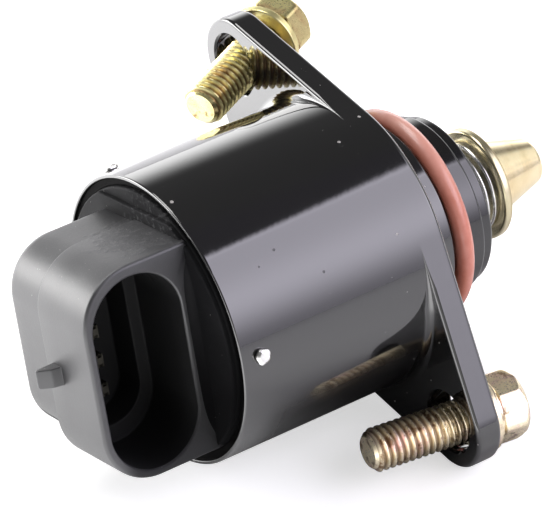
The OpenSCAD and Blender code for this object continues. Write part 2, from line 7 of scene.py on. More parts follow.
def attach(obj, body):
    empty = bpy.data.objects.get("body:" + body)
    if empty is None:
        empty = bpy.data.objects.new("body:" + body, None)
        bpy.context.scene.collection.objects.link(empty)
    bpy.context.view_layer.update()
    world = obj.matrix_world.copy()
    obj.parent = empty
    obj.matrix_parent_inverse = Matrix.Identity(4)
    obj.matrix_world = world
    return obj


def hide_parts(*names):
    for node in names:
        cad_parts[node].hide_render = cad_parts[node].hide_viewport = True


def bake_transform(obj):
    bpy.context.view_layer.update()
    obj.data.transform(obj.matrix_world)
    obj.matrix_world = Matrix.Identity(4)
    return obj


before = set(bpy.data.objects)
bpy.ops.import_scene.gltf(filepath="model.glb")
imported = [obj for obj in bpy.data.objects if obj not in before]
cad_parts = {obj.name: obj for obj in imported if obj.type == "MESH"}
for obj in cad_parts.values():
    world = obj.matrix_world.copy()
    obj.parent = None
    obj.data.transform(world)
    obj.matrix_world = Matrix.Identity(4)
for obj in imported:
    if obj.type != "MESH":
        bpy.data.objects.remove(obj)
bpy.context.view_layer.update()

MM = 0.001
TURN = 2 * np.pi

# Stations along the valve's axis and radii, in millimetres, as the solids have them
CAN_R, CHAMBER_R, RIM_X, CHAMBER_X = 16.5, 15.2, -27.4, -4.6
FLANGE_T, HOLE_R, HOLE_CIRCLE_R, EAR_R = 3.2, 3.5, 23.3, 5.4
EAR_ANGLE = np.radians(46)
SHOULDER_R, LAND_R, PILOT_R, END_R, SEAT_R, NECK_R = 11.4, 10.0, 10.2, 9.7, 8.2, 6.8
LAND_X, PILOT_X, END_X, NOSE_X = 4.1, 6.7, 9.0, 10.35
BLOCK_X, BLOCK_TOP, BLOCK_CORNER, MOUTH_Y = -41.2, 12.2, 6.2, -9.4
TIER_X, TIER_TOP, TIER_LOW, TIER_Y = -40.8, 11.8, -10.3, 7.0
SOCKET_MID, SOCKET_W, SOCKET_LOW, SOCKET_TOP = -34.7, 10.9, -11.35, 10.8
DEEP_W, DEEP_LOW, DEEP_TOP, LEDGE_Y, FLOOR_Y = 7.9, -9.3, 9.3, -0.3, 3.8
PLUG_R, PLUG_X, PAD_X, PAD_EDGE = 15.15, -22.4, -27.9, 13.4
GROOVE_X, GROOVE_END, GROOVE_R, BUSH_R, BUSH_X, WELL_R, WELL_X = -24.0, -22.8, 14.1, 4.18, -25.5, 2.96, -26.2
FILLET_R, FILLET_END = 1.2, 10.4
RING_X, RING_R, RING_SECTION = 5.4, 11.095, 1.075
DISC_X, DISC_T, DISC_R, CONE_LEN, TIP_H = 14.6, 1.1, 6.4, 7.1, 0.9
LEAD_R, LEAD_SOCKET, CONE_ROOT_R, CONE_END_R = 2.02, 4.0, 4.6, 2.55
SPRING_R, WIRE_R, SPRING_START, SPRING_END, COILS = 5.0, 0.225, 7.45, 14.55, 6
THREAD_R, THREAD_DEEP, PITCH, SCREW_LEN, UNDER_HEAD = 2.45, 0.46, 0.8, 14.5, 0.02
WASHER_R, WASHER_BORE, WASHER_T, HEAD_AF, HEAD_H = 4.2, 2.75, 0.9, 7.0, 3.3
PIN_R, PIN_DEEP, PIN_PROUD = 0.65, 1.58, 0.7
# Distance from an arc at which a point holds the shading, the floor's direction and depth, and the share of the
# camera's line of sight along and across the axis
HOLD = 0.05
FLOOR_UP = np.array([0.0, -0.26, 0.966])
FLOOR_LOW, FLOOR_HALF = 17.6, 1500
SIGHT_ALONG, SIGHT_ACROSS = 0.4636, 0.886
LAMP_WHITE = (1.0, 0.99, 0.98)


# Shapes

def turned(grid, angle):
    """The points turned about X: Y and Z go through a plane rotation by the angle."""
    c, s = np.cos(angle), np.sin(angle)
    out = np.array(grid, float)
    out[..., 1], out[..., 2] = grid[..., 1] * c - grid[..., 2] * s, grid[..., 1] * s + grid[..., 2] * c
    return out


def rounded(corners, radii, steps=5):
    """A polyline with arcs for corners. An arc of radius r starts r / tan(half the corner's angle) before
    the corner and sweeps evenly round its centre, which lies on the corner's bisector. Where a side is long,
    a point close to the arc keeps its shading off the flat."""
    points = [np.array(p, float) for p in corners]
    out = [points[0]]
    for before, here, after, r in zip(points, points[1:], points[2:], radii):
        u, v = before - here, after - here
        u, v = u / np.linalg.norm(u), v / np.linalg.norm(v)
        angle = np.arccos(np.clip(u @ v, -1, 1))
        if r <= 0 or angle > np.pi - 1e-4:
            out.append(here)
            continue
        reach = r / np.tan(angle / 2)
        centre = here + (u + v) / np.linalg.norm(u + v) * r / np.sin(angle / 2)
        a, b = here + u * reach - centre, here + v * reach - centre
        sweep = np.pi - angle
        t = np.linspace(0, 1, steps + 1)[:, None]
        if np.linalg.norm(before - here) > 2 * reach + HOLD * 4:
            out.append(here + u * (reach + HOLD))
        out.extend(centre + (np.sin((1 - t) * sweep) * a + np.sin(t * sweep) * b) / np.sin(sweep))
        if np.linalg.norm(after - here) > 2 * reach + HOLD * 4:
            out.append(here + v * (reach + HOLD))
    out.append(points[-1])
    return np.array(out)


def revolve(profile, segments=160):
    """Grid of points: every (x, r) of the profile swept round X, y = r cos(angle), z = r sin(angle)."""
    angle = np.linspace(0, TURN, segments, endpoint=False)
    x, r = profile[:, :1], profile[:, 1:]
    return np.stack([x + 0 * angle, r * np.cos(angle), r * np.sin(angle)], axis=-1)


def quads(rows, cols, wrap_rows=False, wrap_cols=True):
    """Index of the quads of a grid: each joins a point with its neighbour, the next row and the one beyond."""
    i = np.arange(rows if wrap_rows else rows - 1)[:, None]
    j = np.arange(cols if wrap_cols else cols - 1)[None, :]
    i2, j2 = (i + 1) % rows, (j + 1) % cols
    return np.stack([i * cols + j, i * cols + j2, i2 * cols + j2, i2 * cols + j], axis=-1).reshape(-1, 4)


def shell(grid, wrap_rows=False, wrap_cols=True):
    """A grid's points and quads, ready to be joined into a piece."""
    rows, cols = grid.shape[:2]
    return grid.reshape(-1, 3), quads(rows, cols, wrap_rows, wrap_cols)


def make_piece(name, shells, finish, body, stands_for=(), sharp=32, depth=None):
    """One object from shells of points and quads in millimetres: they are joined, scaled to metres, points
    that coincide are merged so that poles and seams close, and the normals are made to point out."""
    points, faces, start = [], [], 0
    for vertices, quad in shells:
        points.append(vertices)
        faces.append(quad + start)
        start += len(vertices)
    mesh = bpy.data.meshes.new(name)
    mesh.from_pydata((np.concatenate(points) * MM).tolist(), [], np.concatenate(faces).tolist())
    work = bmesh.new()
    work.from_mesh(mesh)
    bmesh.ops.remove_doubles(work, verts=work.verts, dist=2e-7)
    bmesh.ops.dissolve_degenerate(work, edges=work.edges, dist=1e-8)
    bmesh.ops.recalc_face_normals(work, faces=work.faces)
    work.to_mesh(mesh)
    work.free()
    smooth(mesh, sharp)
    if depth:
        mark_depth(mesh, depth)
    obj = bpy.data.objects.new(name, mesh)
    bpy.context.scene.collection.objects.link(obj)
    mesh.materials.append(finish.material)
    if body:
        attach(obj, body)
    if stands_for:
        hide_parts(*stands_for)
    return obj


def smooth(mesh, sharp):
    """Smooth shading, with the edges that turn by more than the angle left sharp."""
    mesh.polygons.foreach_set("use_smooth", np.ones(len(mesh.polygons), bool))
    mesh.set_sharp_from_angle(angle=np.radians(sharp))


def mark_depth(mesh, depth):
    """Writes depth, a function of points in millimetres with values from 0 to 1, as an attribute of the points."""
    place = np.empty(len(mesh.vertices) * 3)
    mesh.vertices.foreach_get("co", place)
    mesh.attributes.new("depth", "FLOAT", "POINT").data.foreach_set("value", depth(place.reshape(-1, 3) / MM))


def cut(obj, cutters, sharp=32):
    """Takes the cutters' solids out of the object, and the result is its new mesh."""
    for cutter in cutters:
        modifier = obj.modifiers.new("hole", "BOOLEAN")
        modifier.object, modifier.solver = cutter, "EXACT"
    depsgraph = bpy.context.evaluated_depsgraph_get()
    mesh = bpy.data.meshes.new_from_object(obj.evaluated_get(depsgraph))
    obj.modifiers.clear()
    obj.data = mesh
    smooth(mesh, sharp)
    for cutter in cutters:
        bpy.data.objects.remove(cutter)


def flange_outline():
    """The flange's edge as points, outward normals and polar angles: two ear arcs of 5.4 mm, two arcs of the
    can's radius, and the straight lines that touch both. sin(lean) = (can - ear) / distance between centres."""
    touch = np.pi / 2 - np.arcsin((CAN_R - EAR_R) / HOLE_CIRCLE_R)
    ear = np.linspace(-touch, touch, 40, endpoint=False)
    can = np.linspace(touch, np.pi - touch, 44, endpoint=False)
    ear_n = np.stack([np.cos(ear), np.sin(ear)], -1)
    can_n = np.stack([np.cos(can), np.sin(can)], -1)
    corner = np.array([np.cos(touch), np.sin(touch)])
    start, end = corner * EAR_R + [HOLE_CIRCLE_R, 0], corner * CAN_R
    a0, a1 = np.arctan2(start[1], start[0]), touch
    polar = np.linspace(a0, a1, 34, endpoint=False)
    # the straight line in polar form: distance of the line over cos(angle from its normal)
    reach = CAN_R / np.cos(polar - touch)
    line = reach[:, None] * np.stack([np.cos(polar), np.sin(polar)], -1)
    line_n = np.repeat(corner[None], len(polar), 0)
    back = np.linspace(np.pi - touch, np.pi - a0, 34, endpoint=False)
    back_reach = CAN_R / np.cos(back - (np.pi - touch))
    back_line = back_reach[:, None] * np.stack([np.cos(back), np.sin(back)], -1)
    back_n = np.repeat((corner * [-1, 1])[None], len(back), 0)
    half_p = np.concatenate([ear_n * EAR_R + [HOLE_CIRCLE_R, 0], line, can_n * CAN_R, back_line])
    half_n = np.concatenate([ear_n, line_n, can_n, back_n])
    points, normals = np.concatenate([half_p, -half_p]), np.concatenate([half_n, -half_n])
    c, s = np.cos(EAR_ANGLE), np.sin(EAR_ANGLE)
    spin = np.array([[c, s], [-s, c]])
    points, normals = points @ spin, normals @ spin
    return points, normals, np.arctan2(points[:, 1], points[:, 0])


def housing_shell():
    """The can, flange and nose as one skin: every column is the same closed profile, which runs over the rear
    lip with its shallow recess, up the can, out over the flange where the outline stands beyond the can, in
    along the nose and back through the bores. Fillets are quarter circles whose radius is limited to half of
    what the flange stands out."""
    outline, normal, polar = flange_outline()
    out = np.stack([np.cos(polar), np.sin(polar)], -1)
    stand = np.maximum(np.linalg.norm(outline, axis=1) - CAN_R, 0)
    root, rear = np.minimum(1.0, stand / 2), np.minimum(0.4, stand / 2)
    front = 0.55
    rows = []

    def radial(profile):
        for x, r in profile:
            rows.append(np.column_stack([np.full(len(out), x), out * r]))

    radial(rounded([(RIM_X + 2, CHAMBER_R), (RIM_X + 0.5, CHAMBER_R), (RIM_X + 0.45, CAN_R - 0.45),
                    (RIM_X, CAN_R - 0.4), (RIM_X, CAN_R), (RIM_X + 3, CAN_R)], [0.05, 0.12, 0.12, 0.2], 5)[1:-1])
    for x in np.linspace(RIM_X + 1.5, -FLANGE_T - 1.6, 8):
        radial([(x, CAN_R)])
    rows.append(np.column_stack([-FLANGE_T - root - HOLD, out * CAN_R]))
    for t in np.linspace(0, np.pi / 2, 9):
        rows.append(np.column_stack([-FLANGE_T - root * (1 - np.sin(t)),
                                     out * (CAN_R + root * (1 - np.cos(t)))[:, None]]))
    face_in, face_out = out * (CAN_R + root)[:, None], outline - normal * rear[:, None]
    for t in (0.01, 0.33, 0.66, 0.99):
        rows.append(np.column_stack([np.full(len(out), -FLANGE_T), face_in * (1 - t) + face_out * t]))
    for t in np.linspace(0, np.pi / 2, 6):
        rows.append(np.column_stack([-FLANGE_T + rear * (1 - np.cos(t)),
                                     outline - normal * (rear * (1 - np.sin(t)))[:, None]]))
    for x in (-FLANGE_T + rear + HOLD, np.full(len(out), -front - HOLD)):
        rows.append(np.column_stack([x, outline]))
    for t in np.linspace(0, np.pi / 2, 9):
        rows.append(np.column_stack([np.full(len(out), -front + front * np.sin(t)),
                                     outline - normal * front * (1 - np.cos(t))]))
    face = outline - normal * front
    for t in (0.01, 0.25, 0.5, 0.75, 0.97):
        rows.append(np.column_stack([np.zeros(len(out)), face * (1 - t) + out * (SHOULDER_R + 0.35) * t]))
    nose = rounded([(0, 14), (0, SHOULDER_R), (LAND_X, SHOULDER_R), (LAND_X, LAND_R), (PILOT_X, LAND_R),
                    (PILOT_X, PILOT_R), (END_X, PILOT_R), (END_X, END_R), (NOSE_X, END_R), (NOSE_X, SEAT_R),
                    (1.6, SEAT_R), (1.6, NECK_R), (CHAMBER_X, NECK_R), (CHAMBER_X, CHAMBER_R), (RIM_X + 1, CHAMBER_R)],
                   [0.35, 0.35, 0.15, 0.1, 0.08, 0.35, 0.1, 0.35, 0.2, 0.1, 0.2, 0.2, 0.4], 5)
    radial(nose[1:])
    return shell(np.stack(rows), wrap_rows=True)


def rim_recess(points):
    """1 for the points of the shallow recess inside the can's rear lip."""
    x, y, z = points.T
    return 1.0 * (x > RIM_X + 0.2) * (x < RIM_X + 2.2) * (np.hypot(y, z) < CAN_R - 0.42)


def hole_cutter(angle):
    """A cylinder through an ear whose radius grows along a quarter circle near both faces."""
    profile = rounded([(-FLANGE_T - 1, 0), (-FLANGE_T - 1, HOLE_R + 1.25), (-FLANGE_T, HOLE_R + 0.25),
                       (-FLANGE_T + 0.25, HOLE_R), (-0.3, HOLE_R), (0, HOLE_R + 0.3), (1, HOLE_R + 1.3), (1, 0)],
                      [0, 0.2, 0.3, 0.3, 0.25, 0], 4)
    grid = revolve(profile, 96)
    grid[..., 1] += HOLE_CIRCLE_R
    return shell(turned(grid, angle))


def stadium(angle, middle, width, low, high):
    """Radius of a stadium round (SOCKET_MID, 0) in the X and Z plane at each angle, by halving the interval in
    which the distance to its spine crosses half its width."""
    near, far = np.zeros_like(angle), np.full_like(angle, 30.0)
    for _ in range(40):
        r = (near + far) / 2
        x, z = SOCKET_MID + r * np.cos(angle) - middle, r * np.sin(angle)
        spine = z - np.clip(z, low + width / 2, high - width / 2)
        inside = np.hypot(x, spine) < width / 2
        near, far = np.where(inside, r, near), np.where(inside, far, r)
    return near


def block(angle, x0, x1, low, high, corner):
    """Radius of a rectangle with two rounded corners on its -X side, found in the same way."""
    near, far = np.zeros_like(angle), np.full_like(angle, 40.0)
    for _ in range(40):
        r = (near + far) / 2
        x, z = SOCKET_MID + r * np.cos(angle), r * np.sin(angle)
        c = np.where(x < x0 + corner, corner, 0.05)
        dx = np.abs(x - (x0 + x1) / 2) - (x1 - x0) / 2 + c
        dz = np.abs(z - (low + high) / 2) - (high - low) / 2 + c
        gap = np.hypot(np.maximum(dx, 0), np.maximum(dz, 0)) + np.minimum(np.maximum(dx, dz), 0) - c
        near, far = np.where(gap < 0, r, near), np.where(gap < 0, far, r)
    return near


def connector_shell():
    """The connector as one skin of rings at rising and falling Y: floor of the socket, deep part, ledge, wide
    part, lip, outside, the step at the parting line and the rounded closed end."""
    angle = np.linspace(0, TURN, 320, endpoint=False)
    end = -27.42
    deep = stadium(angle, SOCKET_MID, DEEP_W, DEEP_LOW, DEEP_TOP)
    wide = stadium(angle, SOCKET_MID, SOCKET_W, SOCKET_LOW, SOCKET_TOP)

    def outer(grow):
        return block(angle, BLOCK_X - grow, end, -BLOCK_TOP - grow, BLOCK_TOP + grow, BLOCK_CORNER + grow)

    def closed(grow):
        return block(angle, TIER_X - grow, end, TIER_LOW - grow, TIER_TOP + grow, BLOCK_CORNER - 0.4 + grow)

    rings = [(0 * deep, FLOOR_Y), (deep * 0.5, FLOOR_Y)]
    for t in np.linspace(0, np.pi / 2, 5):
        rings.append((deep - 0.3 * (1 - np.sin(t)), FLOOR_Y - 0.3 * (1 - np.cos(t))))
    for t in np.linspace(0, np.pi / 2, 5):
        rings.append((deep + 0.2 * (1 - np.cos(t)), LEDGE_Y + 0.2 * (1 - np.sin(t))))
    for t in np.linspace(0, np.pi / 2, 5):
        rings.append((wide - 0.25 * (1 - np.sin(t)), LEDGE_Y - 0.25 * (1 - np.cos(t))))
    for y in (-3.0, -6.0):
        rings.append((wide, y))
    for t in np.linspace(0, np.pi / 2, 6):
        rings.append((wide + 0.35 * (1 - np.cos(t)), MOUTH_Y + 0.35 * (1 - np.sin(t))))
    for t in np.linspace(0, np.pi / 2, 7):
        rings.append((outer(-0.4 * (1 - np.sin(t))), MOUTH_Y + 0.4 * (1 - np.cos(t))))
    for y in (-6.0, -3.0):
        rings.append((outer(0), y))
    for t in np.linspace(0, np.pi / 2, 6):
        rings.append((outer(-0.3 * (1 - np.cos(t))), -0.3 + 0.3 * np.sin(t)))
    for y in (0.0, 0.1, 2.0, 4.0):
        rings.append((closed(-0.02 * y), y))
    for t in np.linspace(0, np.pi / 2, 9):
        rings.append((closed(-0.1 - 1.5 * (1 - np.cos(t))), TIER_Y - 1.5 + 1.5 * np.sin(t)))
    last = closed(-1.6)
    rings += [(last * 0.5, TIER_Y), (0 * last, TIER_Y)]
    return shell(np.stack([np.stack([SOCKET_MID + r * np.cos(angle), np.full_like(r, y), r * np.sin(angle)], -1)
                           for r, y in rings]))


def in_socket(points):
    """1 for the points inside the connector's socket: those within its stadium and behind the mouth."""
    x, y, z = points.T
    spine = z - np.clip(z, SOCKET_LOW + SOCKET_W / 2, SOCKET_TOP - SOCKET_W / 2)
    return 1.0 * (np.hypot(x - SOCKET_MID, spine) < SOCKET_W / 2 + 0.02) * (y > MOUTH_Y + 0.3)


def plug_shell():
    """The plug in the can: a turned profile with the seal's groove and the bush's bore, and a pad behind it
    whose radius is cut by two straight edges, r = edge / |sin(angle)| where that is less than the plug's."""
    angle = np.linspace(0, TURN, 288, endpoint=False)
    chord = np.minimum(PLUG_R - 0.15, PAD_EDGE / np.maximum(np.abs(np.sin(angle)), 0.2))
    rows = [(PAD_X, 0 * chord), (PAD_X, chord * 0.5)]
    for t in np.linspace(0, np.pi / 2, 5):
        rows.append((PAD_X + 0.2 * (1 - np.cos(t)), chord - 0.2 * (1 - np.sin(t))))
    rows += [(RIM_X - 0.05, chord), (RIM_X + 0.05, chord + 0.02)]
    rows += [(x, np.full_like(angle, r)) for x, r in rounded(
        [(RIM_X + 0.05, 14), (RIM_X + 0.05, PLUG_R), (GROOVE_X, PLUG_R), (GROOVE_X, GROOVE_R), (GROOVE_END, GROOVE_R),
         (GROOVE_END, PLUG_R), (PLUG_X, PLUG_R), (PLUG_X, BUSH_R), (BUSH_X, BUSH_R), (BUSH_X, WELL_R), (WELL_X, WELL_R),
         (WELL_X, 0)], [0.25, 0.05, 0.1, 0.1, 0.05, 0.2, 0.1, 0.05, 0.05, 0.1], 3)[1:]]
    return shell(np.stack([np.stack([np.full_like(angle, x), r * np.cos(angle), r * np.sin(angle)], -1)
                           for x, r in rows]))


def mouth_fillet():
    """The concave fillet between the mouth's lip and the pad: a quarter circle whose radius fades to nothing
    towards both ends, r = full radius (1 - (z / end)^6)."""
    z = np.linspace(0.1 - FILLET_END, FILLET_END - 0.1, 60)
    r = FILLET_R * (1 - (z / FILLET_END) ** 6)
    t = np.linspace(0, np.pi / 2, 9)[:, None]
    x0, y0 = PAD_X + 0.05, MOUTH_Y + 0.05
    x, y = x0 - r * (1 - np.sin(t)), y0 - r * (1 - np.cos(t))
    arc = np.stack([x, y, z + 0 * x], -1)
    inner = np.stack([np.full_like(z, x0 + 0.3), np.full_like(z, y0 + 0.3), z], -1)[None]
    ends = np.concatenate([arc, inner])
    first, last = ends[:, :1].copy(), ends[:, -1:].copy()
    first[...] = ends[:, :1].mean(axis=0, keepdims=True)
    last[...] = ends[:, -1:].mean(axis=0, keepdims=True)
    grid = np.concatenate([first, ends, last], axis=1)
    return shell(grid, wrap_rows=True, wrap_cols=False)


def latch_shell():
    """The latch nib: its side view, a ramp with a blunt tip and a steep back, drawn at several heights; the
    first and last are drawn in, which rounds the nib's two flanks."""
    side = rounded([(BLOCK_X + 0.3, -1.3), (BLOCK_X + 0.3, -3.2), (BLOCK_X - 0.05, -3.0), (BLOCK_X - 1.1, -2.7),
                    (BLOCK_X - 2.35, -1.75), (BLOCK_X - 2.35, -1.42), (BLOCK_X + 0.3, -1.3)],
                   [0.05, 0.2, 0.8, 0.2, 0.15], 4)[:-1]
    middle = side.mean(axis=0)
    levels = [(-1.175, 0), (-1.175, 0.86), (-1.12, 0.95), (-1.0, 1.0), (0.8, 1.0), (0.92, 0.95), (0.975, 0.86),
              (0.975, 0)]
    grid = np.stack([np.column_stack([middle + (side - middle) * k, np.full(len(side), z)]) for z, k in levels])
    return shell(grid)


def helix_shell(radius, wire, x0, x1, turns, sides=16, steps=720):
    """Round wire wound on a cylinder: the centre line is (x, R cos a, R sin a) with x rising evenly, and each
    ring of the wire lies in the plane of the outward direction and the one square to it and to the path.
    The turns close up at both ends, and the wire's ends are cut square."""
    t = np.linspace(0, 1, steps)
    a = TURN * turns * t
    lift = np.clip((t * turns - 0.25) / (turns - 0.5), 0, 1)
    x = x0 + wire + (x1 - x0 - 2 * wire) * (0.35 * lift + 0.65 * lift * lift * (3 - 2 * lift))
    outward = np.stack([0 * a, np.cos(a), np.sin(a)], -1)
    centre = outward * radius
    centre[:, 0] = x
    path = np.gradient(centre, axis=0)
    path /= np.linalg.norm(path, axis=1, keepdims=True)
    side = np.cross(path, outward)
    b = np.linspace(0, TURN, sides, endpoint=False)
    ring = wire * (np.cos(b)[:, None, None] * outward + np.sin(b)[:, None, None] * side)
    grid = (centre + ring).transpose(1, 0, 2)
    return shell(np.concatenate([centre[None, :1].repeat(sides, 1), grid, centre[None, -1:].repeat(sides, 1)]))


def hole_frame(side, shift, lean, turn):
    """A loose screw's own frame: Z laid along X, leant by the angle, turned about X, and moved to the middle
    of the flange at its hole. Gives the turning matrix and the place."""
    m = (Matrix.Rotation(np.radians(turn), 3, "X") @ Matrix.Rotation(np.radians(lean), 3, "Z")
         @ Matrix.Rotation(np.pi / 2, 3, "Y"))
    hole = side * HOLE_CIRCLE_R * np.array([np.cos(EAR_ANGLE), np.sin(EAR_ANGLE)])
    return np.array(m), np.array([-FLANGE_T / 2, hole[0] + shift[0], hole[1] + shift[1]])


def in_hole(points, where):
    """Points of a loose screw or washer, whose own Z runs from tip to head, put in their hole."""
    turning, place = where
    return points @ turning.T + place


def thread_depth(where, lean):
    """How deep each point of a screw lies in the thread, (outer radius - own radius) / the thread's depth,
    between the tip and the flange."""
    def depth(points):
        own = (points - where[1]) @ where[0]
        deep = np.clip((THREAD_R - np.hypot(own[:, 0], own[:, 1])) / THREAD_DEEP, 0, 1)
        end = washer_height(lean) + WASHER_T + UNDER_HEAD - SCREW_LEN
        return deep * (own[:, 2] < -FLANGE_T) * (own[:, 2] > end + 0.3)
    return depth


def washer_height(lean):
    """How far a leaning washer's middle stands off the flange's middle when its low edge touches."""
    lean = np.radians(lean)
    return FLANGE_T / 2 / np.cos(lean) + WASHER_R * np.tan(lean) + 0.04


def about_z(profile, segments=96):
    """Grid of a profile of (r, z) swept round Z."""
    angle = np.linspace(0, TURN, segments, endpoint=False)
    r, z = profile[:, :1], profile[:, 1:]
    return np.stack([r * np.cos(angle), r * np.sin(angle), z + 0 * angle], -1)


def screw_shells(lean):
    """A hexagon head screw. The thread's radius is a rounded saw wave of (z / pitch - angle / turn), limited by
    the tip's cone. The head's radius is the hexagon's, limited by a cone that gives the curved chamfers."""
    under = washer_height(lean) + WASHER_T + UNDER_HEAD
    angle = np.linspace(0, TURN, 96, endpoint=False)
    z = np.concatenate([np.linspace(0, SCREW_LEN - 0.35, 300), [SCREW_LEN - 0.15, SCREW_LEN + 0.1]])[:, None]
    wave = np.abs(((z / PITCH - angle / TURN) % 1.0) - 0.5) * 2
    depth = np.clip((wave - 0.14) / 0.72, 0, 1)
    depth = depth * depth * (3 - 2 * depth) * 0.35 + depth * 0.65
    fade = np.clip((SCREW_LEN - 0.3 - z) / 0.5, 0, 1)
    radius = THREAD_R - THREAD_DEEP * depth * fade
    radius = np.minimum(radius, 1.75 + 0.95 * z + 0 * angle)
    shank = np.stack([radius * np.cos(angle), radius * np.sin(angle), under - SCREW_LEN + z + 0 * angle], -1)
    tip, top = shank[:1] * [0, 0, 1], shank[-1:] * [0, 0, 1]
    collar = about_z(rounded([(0, under), (3.7, under), (3.7, under + 0.5), (2.6, under + 0.75), (0, under + 0.75)],
                             [0.18, 0.22, 0.3], 4))
    corner = (angle + np.pi / 6) % (np.pi / 3) - np.pi / 6
    hexagon = HEAD_AF / 2 / np.cos(corner)
    hexagon = np.minimum(hexagon, HEAD_AF / 2 / np.cos(np.pi / 6) * 0.975)
    base = under + 0.5
    rows = [(0 * angle, base), (hexagon - 0.1, base), (hexagon, base + 0.1)]
    for h in np.linspace(0.3, HEAD_H - 0.05, 16):
        crown = HEAD_AF / 2 * 1.155 - np.maximum(h - HEAD_H + 1.15, 0) ** 1.6 * 0.62
        rows.append((np.minimum(hexagon, crown), base + h))
    rows += [(np.full_like(angle, 3.02), base + HEAD_H), (np.full_like(angle, 2.2), base + HEAD_H - 0.02),
             (np.full_like(angle, 1.9), base + HEAD_H - 0.18), (0 * angle, base + HEAD_H - 0.22)]
    head = np.stack([np.stack([r * np.cos(angle), r * np.sin(angle), np.full_like(angle, h)], -1)
                     for r, h in rows])
    return [shell(np.concatenate([tip, shank, top])), shell(collar), shell(head)]


def washer_shell(lean):
    """A flat washer with rounded rims."""
    z = washer_height(lean)
    profile = rounded([(3.5, z), (WASHER_R, z), (WASHER_R, z + WASHER_T), (WASHER_BORE, z + WASHER_T),
                       (WASHER_BORE, z), (3.5, z)], [0.16, 0.16, 0.12, 0.12], 4)[:-1]
    return shell(about_z(profile, 120), wrap_rows=True)


def pin_shell(angle, phase):
    """A retaining pin: a short rod whose outer end is peened over. Its head's radius is the profile's times
    1.2 + 0.05 cos(3a) + 0.05 cos(5a), each wave with its own phase, and its dome is dented where two cosines
    of the place are both positive."""
    low, high = PLUG_R - PIN_DEEP, CAN_R + PIN_PROUD
    profile = rounded([(0, low), (PIN_R, low), (PIN_R, CAN_R + 0.1), (PIN_R + 0.07, CAN_R + 0.12),
                       (PIN_R + 0.09, high - 0.25), (0.5, high - 0.02), (0, high)], [0.06, 0.02, 0.1, 0.2, 0.15], 5)
    grid = about_z(profile, 64)
    a = np.linspace(0, TURN, 64, endpoint=False)
    head = np.clip((grid[..., 2:] - CAN_R - 0.05) / 0.12, 0, 1)
    uneven = (0.2 + 0.05 * np.cos(3 * a + phase) + 0.05 * np.cos(5 * a + 2.2 * phase))[:, None]
    grid[..., :2] *= 1 + head * uneven
    dent = np.cos(2.6 * grid[..., :1] + phase) * np.cos(3.1 * grid[..., 1:2] - phase)
    grid[..., 2:] -= head * 0.1 * np.clip(dent, 0, 1) * np.clip((grid[..., 2:] - high + 0.35) / 0.3, 0, 1)
    flat = np.stack([grid[..., 1] + RIM_X + 2.5, grid[..., 2], grid[..., 0]], -1)
    return shell(turned(flat, angle))


def pintle_shell():
    """Disc, cone and rounded tip turned from one profile, and the socket of the lead screw."""
    cone_x, tip_x = DISC_X + DISC_T, DISC_X + DISC_T + CONE_LEN
    socket = DISC_X + LEAD_SOCKET
    profile = rounded([(socket, 0), (socket, LEAD_R), (DISC_X, LEAD_R), (DISC_X, DISC_R), (cone_x, DISC_R),
                       (cone_x, CONE_ROOT_R), (tip_x, CONE_END_R), (tip_x + TIP_H, 0)],
                      [0.1, 0.15, 0.3, 0.3, 0.45, 0.75], 7)
    dome = profile[-1:] * [1, 0]
    return shell(revolve(np.concatenate([profile[:-1], dome]), 192))


# Finishes

class Value:
    """A number socket of a finish. An operator on it adds a Math node, so a mask is written as plain sums."""

    def __init__(self, finish, socket):
        self.finish, self.socket = finish, socket

    def math(self, operation, first, second):
        return self.finish.node("Math", {"operation": operation}, {0: first, 1: second})

    def __add__(self, other):
        return self.math("ADD", self, other)

    def __radd__(self, other):
        return self.math("ADD", other, self)

    def __sub__(self, other):
        return self.math("SUBTRACT", self, other)

    def __rsub__(self, other):
        return self.math("SUBTRACT", other, self)

    def __mul__(self, other):
        return self.math("MULTIPLY", self, other)

    def __rmul__(self, other):
        return self.math("MULTIPLY", other, self)

    def __pow__(self, other):
        return self.math("POWER", self, other)

    def step(self, low, high):
        """0 below low, 1 above high and smooth between; low above high turns it round."""
        return self.finish.node("MapRange", {"interpolation_type": "SMOOTHSTEP"}, {0: self, 1: low, 2: high})


class Nodes:
    """A node tree: node() adds any node to it."""

    def __init__(self, tree):
        self.tree = tree

    def join(self, socket, value):
        if isinstance(value, Value):
            self.tree.links.new(value.socket, socket)
        else:
            socket.default_value = value

    def node(self, kind, settings=None, inputs=None, out=0):
        """Any node: its settings first, then its sockets' values or links."""
        node = self.tree.nodes.new("ShaderNode" + kind)
        for key, value in (settings or {}).items():
            setattr(node, key, value)
        for key, value in (inputs or {}).items():
            self.join(node.inputs[key], value)
        return Value(self, node.outputs[out]) if node.outputs else node

    def dot(self, vector, direction):
        """How far a vector reaches along a direction."""
        direction = tuple(float(c) for c in direction)
        return self.node("VectorMath", {"operation": "DOT_PRODUCT"}, {0: vector, 1: direction}, out="Value")

    def mix(self, first, second, factor):
        return self.node("Mix", {"data_type": "RGBA"}, {0: factor, 6: first, 7: second}, out=2)

    def larger(self, first, second):
        return self.node("Math", {"operation": "MAXIMUM"}, {0: first, 1: second})


